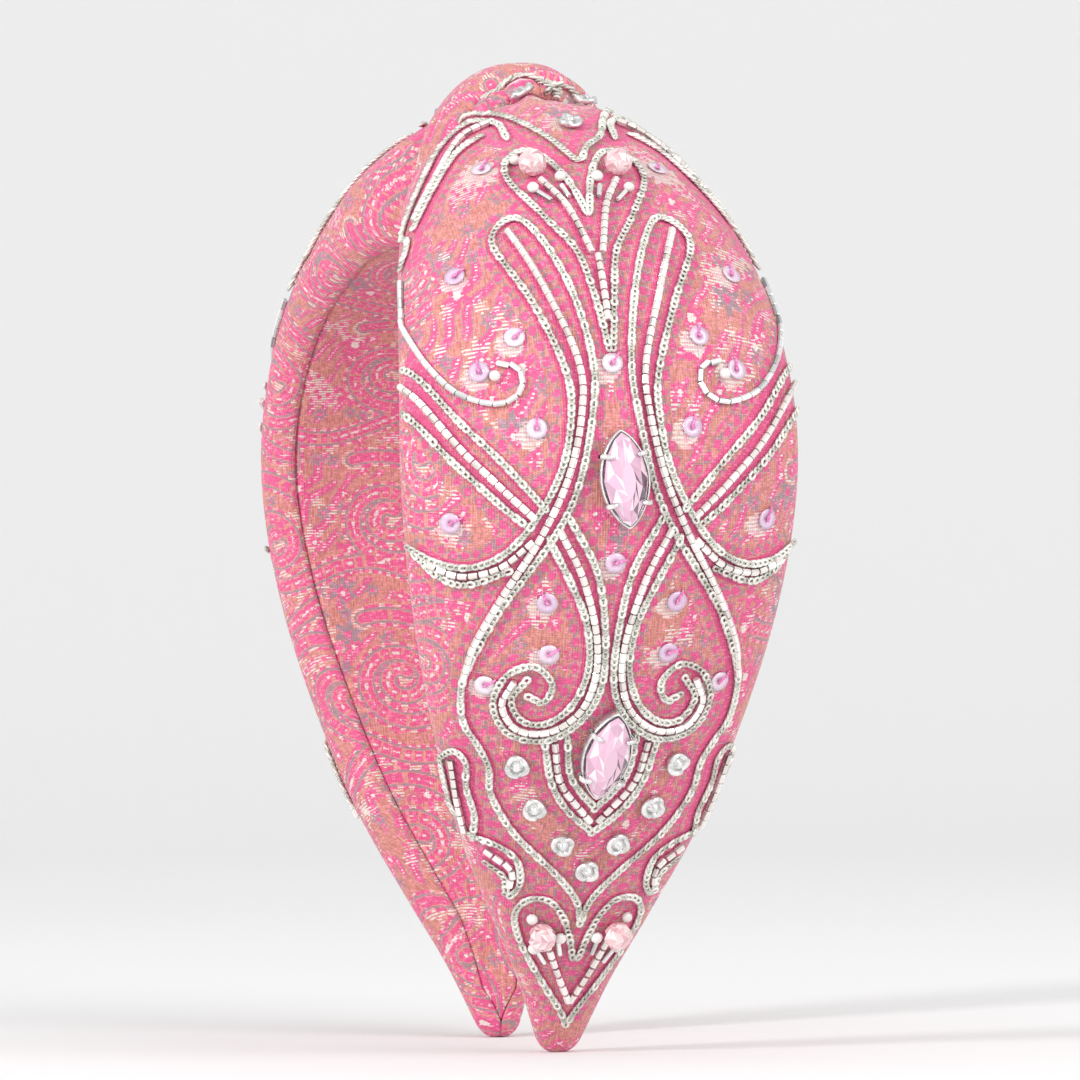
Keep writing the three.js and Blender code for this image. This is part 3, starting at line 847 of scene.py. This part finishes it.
def sew(name, tree, base, shape, material, pitch=1.0, spread=0.0, seed=1):
    """Runs a sewing tree on a base mesh and returns the plain mesh it makes."""
    guide = bpy.data.objects.new(name + "_guide", base)
    bpy.context.scene.collection.objects.link(guide)
    modifier = guide.modifiers.new("Sewing", "NODES")
    modifier.node_group = tree
    wanted = {"Shape": shape, "Finish": material, "Pitch": pitch * MM, "Size spread": spread, "Seed": seed}
    for item in tree.interface.items_tree:
        if item.in_out == "INPUT" and item.name in wanted:
            modifier[item.identifier] = wanted[item.name]
    bpy.context.view_layer.update()
    graph = bpy.context.evaluated_depsgraph_get()
    made = bpy.data.meshes.new_from_object(guide.evaluated_get(graph), depsgraph=graph)
    made.name = name
    bpy.data.objects.remove(guide)
    for key in ("out", "heading"):
        if key in made.attributes:
            made.attributes.remove(made.attributes[key])
    return made


def fold_rise(s, y):
    """How much higher the surface is where the gathered fold lies on it."""
    off = (s - 181.6 + 0.10 * y) / 3.0
    return 3.1 * np.sqrt(np.clip(1 - off * off, 0, 1)) * np.clip(1 - 0.55 * np.abs(y / 11.4) ** 3, 0, 1)


def line_base(lines, lift, side):
    """Loose edges lying lift above the cloth, each point with the cloth's outward direction."""
    points, outs, edges = [], [], []
    for line in lines:
        s, y = line[:, 0], line[:, 1]
        out, _ = cloth_frame(s, y)
        first = sum(map(len, points))
        points.append(on_cloth(s, y) + out * (lift + fold_rise(s, y))[:, None])
        outs.append(out)
        edges += [(first + i, first + i + 1) for i in range(len(line) - 1)]
    return guide_mesh(points, {"out": outs}, edges, side)


def spot_base(spots, lift, side, turn=None):
    s, y = np.array(spots, float).T
    out, up = cloth_frame(s, y)
    if turn is not None:
        over = np.cross(up, out)
        angle = np.asarray(turn)[:, None]
        up = up * np.cos(angle) + over * np.sin(angle)
    points = on_cloth(s, y) + out * (lift + fold_rise(s, y))[:, None]
    return guide_mesh([points], {"out": [out], "heading": [up]}, [], side)


def guide_mesh(points, vectors, edges, side):
    mesh = bpy.data.meshes.new("guide")
    mesh.from_pydata((turned(np.vstack(points), side) * MM).tolist(), edges, [])
    for key, rows in vectors.items():
        data = mesh.attributes.new(key, "FLOAT_VECTOR", "POINT").data
        data.foreach_set("vector", turned(np.vstack(rows), side).ravel())
    return mesh


def hidden_shape(name, points, faces, smooth_faces=True, facet_reflection=None):
    """A small shape for the sewing trees, in millimetres round its own middle: Y along the row, Z out."""
    mesh = bpy.data.meshes.new(name)
    mesh.from_pydata((np.asarray(points, float) * MM).tolist(), [], [tuple(map(int, f)) for f in faces])
    mesh.polygons.foreach_set("use_smooth", [smooth_faces] * len(mesh.polygons))
    if facet_reflection is not None:
        mesh.attributes.new("facet_reflection", "FLOAT", "FACE").data.foreach_set("value", facet_reflection)
    return bpy.data.objects.new(name, mesh)


def tube(path, radius, sides=4, closed=False, flat=1.0):
    """Points and faces of a tube along a path. flat squashes it in Z."""
    path = np.asarray(path, float)
    if closed:
        ahead = np.roll(path, -1, 0) - np.roll(path, 1, 0)
    else:
        ahead = np.gradient(path, axis=0)
    ahead /= np.linalg.norm(ahead, axis=1)[:, None]
    side = np.cross(ahead, [0, 0, 1.0])
    weak = np.linalg.norm(side, axis=1) < 1e-3
    side[weak] = [1.0, 0, 0]
    side /= np.linalg.norm(side, axis=1)[:, None]
    up = np.cross(side, ahead)
    a = np.linspace(0, 2 * math.pi, sides, endpoint=False)
    r = np.broadcast_to(np.asarray(radius, float), (len(path),))[:, None, None]
    ring = side[:, None] * np.cos(a)[None, :, None] + up[:, None] * np.sin(a)[None, :, None] * flat
    points = (path[:, None] + ring * r).reshape(-1, 3)
    n = len(path)
    faces = [
        (((k + 1) % n) * sides + i, ((k + 1) % n) * sides + (i + 1) % sides, k * sides + (i + 1) % sides,
         k * sides + i)
        for k in range(n if closed else n - 1)
        for i in range(sides)
    ]
    if not closed:
        faces += [tuple(range(sides)), tuple((n - 1) * sides + i for i in range(sides))[::-1]]
    return points, faces


def chain_link():
    """One stitch of the chained cord: a drop-shaped loop whose narrow end tucks under the next."""
    a = np.linspace(0, 2 * math.pi, 11, endpoint=False)
    path = np.stack([0.37 * np.sin(a) * (1 - 0.6 * np.cos(a)), -0.88 * np.cos(a), 0.27 - 0.22 * np.cos(a)],
                    1)
    return hidden_shape("chain_link", *tube(path, 0.27, 4, closed=True))


def cut_bead(length, radius, sides=8):
    """A tube bead with chamfered ends, closed flat at each end."""
    a = (np.arange(sides) + 0.5) / sides * 2 * math.pi
    rings = [(-length / 2, 0.45), (-length / 2, 0.86), (-length / 2 + 0.14, 1), (length / 2 - 0.14, 1),
             (length / 2, 0.86), (length / 2, 0.45)]
    points = [(r * radius * math.cos(t), y, r * radius * math.sin(t)) for y, r in rings for t in a]
    faces = [tuple(reversed(f)) for f in grid_faces(len(rings), sides, around=True)]
    faces += [tuple(range(sides)), tuple((len(rings) - 1) * sides + i for i in range(sides))[::-1]]
    # painted reflections round the bead: each side face gets its own fixed dark or bright share
    facet_reflection = np.concatenate([np.tile([0.30, 0.74, 0.95, 0.15, 0.6, 0.3, 0.6, 0.1][:sides], len(rings) - 1),
                            [0.2, 0.2]])
    return hidden_shape("cut_bead", points, faces, smooth_faces=False, facet_reflection=facet_reflection)


def poled_faces(rings, around):
    """Faces of a closed shape with a pole at each end and rings of points between them."""
    last = rings * around + 1
    turn = [(i, (i + 1) % around) for i in range(around)]
    faces = [(0, 1 + i, 1 + j) for i, j in turn]
    for k in range(rings - 1):
        a, b = 1 + k * around, 1 + (k + 1) * around
        faces += [(a + i, b + i, b + j, a + j) for i, j in turn]
    return faces + [(last, last - around + j, last - around + i) for i, j in turn]


def round_bead(radius, squash=0.85):
    rings, around = 4, 9
    points = [(0, 0, radius * squash)]
    for k in range(1, rings + 1):
        for i in range(around):
            a, b = k * math.pi / (rings + 1), i * 2 * math.pi / around
            reach = radius * math.sin(a)
            points.append((reach * math.cos(b), reach * math.sin(b), radius * squash * math.cos(a)))
    points.append((0, 0, -radius * squash))
    return hidden_shape("round_bead", points, poled_faces(rings, around))


def sequin_disc():
    """A cupped disc with a small hole, closed all round."""
    rings = [(0.27, 0.02), (0.95, 0.04), (1.65, 0.18), (1.7, 0.26), (0.95, 0.13), (0.27, 0.09)]
    a = np.arange(18) / 18 * 2 * math.pi
    points = [(r * math.cos(t), r * math.sin(t), z) for r, z in rings for t in a]
    faces = [tuple(f) for f in grid_faces(len(rings), 18, around=True)]
    faces += [((5 * 18 + i), (5 * 18 + (i + 1) % 18), (i + 1) % 18, i) for i in range(18)]
    return hidden_shape("sequin_disc", points, faces)


def sequin_stitch():
    path = [(0, 0.1, 0), (0, 0.12, 0.3), (0.1, 0.5, 0.36), (0.25, 1.1, 0.5), (0.36, 1.75, 0.42),
            (0.42, 2.1, -0.1)]
    points, faces = tube(path, 0.2, 5)
    knot, knot_faces = tube([(0.05, -0.3, 0.3), (0.05, 0, 0.5), (0.05, 0.35, 0.32)], 0.26, 5)
    faces = faces + [tuple(i + len(points) for i in f) for f in knot_faces]
    return hidden_shape("sequin_stitch", np.vstack([points, knot]), faces)


def rosette():
    """A cast metal rose: curled petals round a raised middle."""
    rings, around = 11, 24
    points = [(0, 0, 1.75)]
    for k in range(1, rings + 1):
        r = k / rings
        for i in range(around):
            a = i * 2 * math.pi / around
            overlap = (1.5 * a / math.pi + 0.9 * r) % 1.0
            seed = 0.95 + 0.75 * math.sqrt(1 - (r / 0.36) ** 2) if r < 0.36 else 0.0
            rim = (0.75 + 0.85 * overlap) * math.sqrt(max(0, 1 - ((r - 0.72) / 0.3) ** 2))
            radius = 2.15 * r * (1 + 0.07 * math.cos(3 * a + 1) * r)
            height = max(seed, rim + 0.1, 0.45 * (r < 0.6))
            points.append((radius * math.cos(a), radius * math.sin(a), height))
    points.append((0, 0, -0.1))
    return hidden_shape("rosette_shape", points, poled_faces(rings, around))


# ---- stones ----
def navette(half_length, half_wide, z, count, turn=0.0):
    a = (np.arange(count) + turn) / count * 2 * math.pi
    x = half_wide * np.sign(np.sin(a)) * np.abs(np.sin(a)) ** 1.55
    return np.stack([x, half_length * np.cos(a), np.full(count, z)], 1)


def laid_on_cloth(local, faces, spots):
    """Copies of a shape at each (place, spin, lift, side), as all their points and all their faces."""
    points, all_faces = [], []
    for (s, y), spin, lift, side in spots:
        out, up = cloth_frame(np.array([s]), np.array([y]))
        over = np.cross(up, out)
        spin_up = up * math.cos(spin) - over * math.sin(spin)
        spin_over = np.cross(spin_up, out)
        base = on_cloth(np.array([s]), np.array([y])) + out * lift
        first = sum(map(len, points))
        points.append(turned(base + local[:, :1] * spin_over + local[:, 1:2] * spin_up + local[:, 2:] * out,
                             side))
        all_faces += [tuple(first + i for i in f) for f in faces]
    return np.vstack(points), all_faces


def toned_mesh(name, points, faces, tones):
    """A mesh in metres from points in millimetres, with one tone for each face."""
    mesh = bpy.data.meshes.new(name)
    mesh.from_pydata((points * MM).tolist(), [], faces)
    mesh.attributes.new("tone", "FLOAT", "FACE").data.foreach_set("value", tones)
    return mesh


def stone_mesh(name, spots, seed):
    """Pointed oval stones, cut with a table, two rows of crown facets and a keeled back."""
    rng = np.random.default_rng(seed)
    n = 12
    rings = [navette(3.0, 1.1, 2.1, n), navette(5.0, 2.3, 1.6, n, 0.5), navette(6.7, 3.25, 0.6, n),
             navette(7.5, 3.6, 0.0, n), navette(3.0, 0.7, -1.7, n)]
    local = np.vstack(rings)
    faces = [tuple(range(n))[::-1]]
    for k in range(4):
        for i in range(n):
            a, b = k * n + i, k * n + (i + 1) % n
            faces += [(a, b, b + n), (a, b + n, a + n)]
    faces.append(tuple(4 * n + i for i in range(n)))
    # each face's tone is a painted reflection: random brightness, with painted dark reflections on crown
    # faces towards one side
    tones = []
    for _ in spots:
        for f in faces:
            middle = local[list(f)].mean(0)
            shade = rng.uniform(0.3, 1.0)
            if middle[0] > 0.5 and middle[1] < 0.5 and middle[2] > 0.1:
                shade = rng.choice([0.02, 0.1, 0.75])
            tones.append(shade if len(f) == 3 else 0.72)
    return toned_mesh(name, *laid_on_cloth(local, faces, spots), tones)


def claw_setting(spots):
    """Navette cups with a rolled rim, and claws bent over the stone."""
    n = 40
    profile = [(0.45, -2.3), (0.45, -0.45), (0.3, -0.3), (0.06, -0.45), (0.02, -1.9), (-0.6, -2.0)]
    shape = np.vstack([navette(7.5 + grow, 3.6 + grow, z, n) for grow, z in profile])
    faces = [tuple(reversed(f)) for f in grid_faces(len(profile), n, around=True)]
    faces += [tuple(range(n)), tuple((len(profile) - 1) * n + i for i in range(n))[::-1]]
    for sx, sy in ((-1, -1), (1, -1), (-1, 1), (1, 1)):
        x, y = sx * 2.9, sy * 4.0
        path = [(x * 1.18, y, -1.2), (x * 1.2, y, 0.2), (x * 1.12, y, 0.9), (x * 0.86, y * 0.97, 1.25),
                (x * 0.7, y * 0.95, 1.4)]
        points, claw = tube(path, [0.5, 0.5, 0.48, 0.4, 0.28], 6)
        faces += [tuple(i + len(shape) for i in f) for f in claw]
        shape = np.vstack([shape, points])
    return mesh_of("claw_setting", *laid_on_cloth(shape, faces, spots))


def faceted_beads(name, spots, side):
    """Round beads cut with rows of flat facets, lying with their holes across the stalk."""
    rings = [(0.55, 2.0), (1.5, 1.75), (2.2, 0.75), (2.2, -0.75), (1.5, -1.75), (0.55, -2.0)]
    n = 12
    local = []
    for k, (r, y) in enumerate(rings):
        turns = [(i + 0.5 * (k % 2)) / n * 2 * math.pi for i in range(n)]
        local += [(r * math.cos(t), y, r * math.sin(t)) for t in turns]
    local = np.array(local)
    faces = []
    for k in range(len(rings) - 1):
        for i in range(n):
            a, b = k * n + i, k * n + (i + 1) % n
            c, d = a + n, b + n
            faces += [(a, b, c), (b, d, c)] if k % 2 else [(a, d, c), (a, b, d)]
    faces += [tuple(range(n))[::-1], tuple((len(rings) - 1) * n + i for i in range(n))]
    points, all_faces = laid_on_cloth(local, faces, [(spot, 0.0, 2.3, side) for spot in spots])
    # a random painted reflection tone for each face
    return toned_mesh(name, points, all_faces, np.random.default_rng(9).uniform(0.1, 1.0, len(all_faces)))


# ---- the knot ----
def knot_wrap():
    """The padded wrap over the gathered ends: slanting folds, drawn in and tucked under each edge."""
    a = np.linspace(-0.24, math.pi + 0.24, 190)[:, None]
    t = np.linspace(0, 2 * math.pi, 130, endpoint=False)[None]
    high = np.sin(a).clip(0)
    half = 6.2 + 4.6 * high ** 0.8
    x = half * np.sign(np.cos(t)) * np.abs(np.cos(t)) ** 0.75
    thick = 1.9 + 0.9 * high
    h = thick * np.sign(np.sin(t)) * np.abs(np.sin(t)) ** 0.75
    share = x / half
    swing = share * 1.35 + 0.55 * np.cos(a) + 0.18 * np.sin(a * 3)
    folds = np.abs(np.sin(math.pi * swing)) ** 0.6
    folds = 1.25 * (folds - 0.85) + 0.25 * np.sin(share * 13 + a * 3.1) * (1 - high * 0.6)
    h = h + np.sin(t).clip(0) ** 0.6 * folds * (0.55 + 0.45 * high)
    y = (11.0 + 2.8 + h) * np.cos(a)
    z = SHOULDER_Z + CROWN_RISE + (16.8 * np.sin(a) + (2.8 + h) * np.sin(a))
    points = np.stack([x + 0.28 * y, y, z], -1).reshape(-1, 3)
    rows, columns = x.shape
    faces = grid_faces(rows, columns, around=True)
    faces += [tuple(range(columns))[::-1], tuple((rows - 1) * columns + i for i in range(columns))]
    u, v = x + 60, (a * 19) * np.ones_like(t) + 80
    mesh = mesh_of("knot_wrap", points, faces, np.stack([u.ravel(), v.ravel()], 1), woven(u, v))
    piece = show("knot_wrap_cloth", mesh, BROCADE, 0, ["knot_wrap", "knot_roll"])


def gathered_fold(side):
    """The turned fold where a cover is drawn in under the wrap, lying across the gathers beside the knot."""
    y = np.linspace(-11.4, 11.4, 70)
    s = 181.6 - 0.10 * y + 0.5 * np.sin(y * 0.5)
    y_on = np.clip(y, -half_width(s) * 0.99, half_width(s) * 0.99)
    out, _ = cloth_frame(s, y_on)
    girth = 2.9 * (1 - 0.55 * np.abs(y / 11.4) ** 3) + 0.25 * np.sin(y * 0.9)
    points, faces = tube(on_cloth(s, y_on) + out * 0.6, girth, 22, flat=0.9)
    a = np.tile(np.arange(22) / 22 * 18, len(y))
    u, v = a + 30, np.repeat(y, 22) + 90
    mesh = mesh_of("gathered_fold", turned(points, side), faces, np.stack([u, v], 1), woven(u, v))
    show(side_name(side) + "_gathered_fold", mesh, BROCADE, side)


# ---- everything sewn on a leg ----
LINK, BUGLE, CURL_BUGLE = chain_link(), cut_bead(1.55, 0.6), cut_bead(2.0, 0.5)
PINCH_TUBE, STALK_TUBE = cut_bead(3.4, 0.75), cut_bead(3.2, 0.42)
SEED_BEAD, DISC, STITCH, ROSE = round_bead(1.0), sequin_disc(), sequin_stitch(), rosette()
FOAM, CORE = wadding_foam(), core_plastic()
STONES = [((104.3, 0.8), 0.1), ((63.0, 0.5), -0.14)]
ROSETTES = [(59.6, -13), (59.6, 13), (52, -9.6), (52, 9.6), (45.5, -4.5), (45.5, 4.5), (40.5, 0),
            (163.4, 2.2)]
CROWN_ROSETTES = [(177.3, -1.8), (174.6, 7.7)]
BEADS = [(28.2, -5.7), (28.2, 5.7), (150, -7), (150, 6.6)]


def trims(side):
    name = side_name(side)

    def sewn(what, tree, base, shape, material, slot, stands_for=(), **settings):
        mesh = sew(f"{name}_{what}", tree, base, shape, material, **settings)
        return show(f"{name}_{what}", mesh, None, side, stands_for)

    sewn("chain_cords", SEWN_ROW, line_base(CORD_LINES, 0.2, side), LINK, SILVER_THREAD, "silver_metal",
         pitch=1.02, spread=0.12, seed=3)
    sewn("cut_bead_rows", SEWN_ROW, line_base(BEAD_LINES, 0.62, side), BUGLE, BEAD_GLASS, "bead_glass",
         pitch=1.68, spread=0.05, seed=5)
    sewn("curl_bugles", SEWN_ROW, line_base(CURL_LINES, 0.5, side), CURL_BUGLE, TUBE_GLASS, "bead_glass",
         pitch=2.06)
    sewn("pinch_bead", SEWN_SPOTS, spot_base([(179.6, -9.0)], 0.9, side), PINCH_TUBE, TUBE_GLASS,
         "bead_glass")
    stalks = np.array(STALKS + [mirrored(stalk) for stalk in STALKS], float)
    ahead = stalks[:, 1] - stalks[:, 0]
    leans = np.arctan2(ahead[:, 1], ahead[:, 0])
    sewn("stalks", SEWN_SPOTS, spot_base(stalks.mean(1), 0.55, side, leans), STALK_TUBE, TUBE_GLASS,
         "bead_glass", seed=12)
    whites = WHITE_BEADS + mirrored(WHITE_BEADS)
    sewn("white_beads", SEWN_SPOTS, spot_base(whites, 0.9, side), SEED_BEAD, PEARL, "bead_glass",
         spread=0.08, seed=2)
    sequins = PAIRED_SEQUINS + mirrored(PAIRED_SEQUINS) + MIDDLE_SEQUINS
    turns = np.random.default_rng(7).uniform(-0.9, 0.9, len(sequins)) + 0.2
    base = spot_base(sequins, 0.15, side, turns)
    sewn("sequins", SEWN_SPOTS, base.copy(), DISC, SEQUIN, "crystal", seed=4)
    sewn("sequin_stitches", SEWN_SPOTS, base, STITCH, PINK_THREAD, "brocade", seed=4)
    roses = [f"{name}_rosette_{i + 1}" for i in range(8)] + [f"{name}_crown_rosette_{i}" for i in (1, 2)]
    turns = np.random.default_rng(8).uniform(0, 6, len(ROSETTES + CROWN_ROSETTES))
    sewn("rosettes", SEWN_SPOTS, spot_base(ROSETTES + CROWN_ROSETTES, 0.1, side, turns), ROSE, POLISHED,
         "silver_metal", roses, spread=0.06, seed=6)
    beads = faceted_beads(name + "_faceted_beads", BEADS, side)
    show(name + "_faceted_beads", beads, PINK_GLASS, side,
         [f"{name}_faceted_bead_{i + 1}" for i in range(4)])
    for (spot, turn), level in zip(STONES, ("upper", "lower")):
        spots = [(spot, turn, 3.0, side)]
        stone = stone_mesh(f"{name}_{level}_stone", spots, 11)
        show(f"{name}_{level}_stone", stone, CRYSTAL, side, [f"{name}_{level}_crystal"])
        show(f"{name}_{level}_claws", claw_setting(spots), POLISHED, side, [f"{name}_{level}_setting"])


for leg in (1, -1):
    cover(leg)
    band_layers(leg)
    trims(leg)
    gathered_fold(leg)
knot_wrap()


# ---- floor, light and camera ----
SIN, COS = math.sin(math.radians(78)), math.cos(math.radians(78))


def studio():
    p = Paint("Pale floor")
    at = p.node("ShaderNodeTexCoord", output="Object")
    colour = p.mix(p.noise(at, 3.0), (0.82, 0.82, 0.82, 1), (0.84, 0.84, 0.84, 1))
    floor_finish = p.surface(Base_Color=colour, Roughness=0.9)
    # level under the object, then curving up behind it into a wall
    bend = np.linspace(0, math.pi / 2, 24)
    away = np.concatenate([[-12.0, 0.5], 0.9 + 1.2 * np.sin(bend), [2.1]])
    high = np.concatenate([[0.0, 0.0], 1.2 - 1.2 * np.cos(bend), [9.0]])
    rows = [(-x * SIN + y * COS, x * COS + y * SIN, z) for x, z in zip(away, high) for y in (-14.0, 14.0)]
    mesh = bpy.data.meshes.new("floor")
    mesh.from_pydata(rows, [], grid_faces(len(away), 2))
    mesh.polygons.foreach_set("use_smooth", [True] * len(mesh.polygons))
    mesh.materials.append(floor_finish)
    floor = bpy.data.objects.new("floor", mesh)
    bpy.context.scene.collection.objects.link(floor)
    world = bpy.data.worlds.new("Studio")
    bpy.context.scene.world = world
    world.use_nodes = True
    world.node_tree.nodes["Background"].inputs["Color"].default_value = (1.0, 1.0, 1.0, 1)
    world.node_tree.nodes["Background"].inputs["Strength"].default_value = 0.90


def lamp(name, at, target, size, power):
    light = bpy.data.lights.new(name, "AREA")
    light.size, light.energy = size, power
    thing = bpy.data.objects.new(name, light)
    thing.location = at
    thing.rotation_euler = (Vector(target) - Vector(at)).to_track_quat("-Z", "Y").to_euler()
    bpy.context.scene.collection.objects.link(thing)


def camera():
    lens = bpy.data.cameras.new("camera")
    lens.sensor_width, lens.lens = 36.0, 300.0
    lens.clip_start, lens.clip_end = 0.05, 50
    seen = bpy.data.objects.new("camera", lens)
    azimuth = math.radians(78)
    back = Vector((math.sin(azimuth), -math.cos(azimuth), 0))
    right = Vector((math.cos(azimuth), math.sin(azimuth), 0))
    seen.location = back * 1.5 + right * 0.0032 + Vector((0, 0, 0.084))
    roll = (-back).to_track_quat("-Z", "Y").to_matrix() @ Matrix.Rotation(math.radians(CAMERA_ROLL), 3, "Z")
    seen.rotation_euler = roll.to_euler()
    bpy.context.scene.collection.objects.link(seen)
    bpy.context.scene.camera = seen


CAMERA_ROLL = -0.8
studio()
lamp("Window", (0.55, -1.15, 0.62), (0, 0, 0.06), 0.24, 9)
lamp("Reflector", (1.1, 0.7, 0.9), (0, 0, 0.08), 1.0, 9)
camera()
bpy.context.scene.view_settings.view_transform = "Standard"
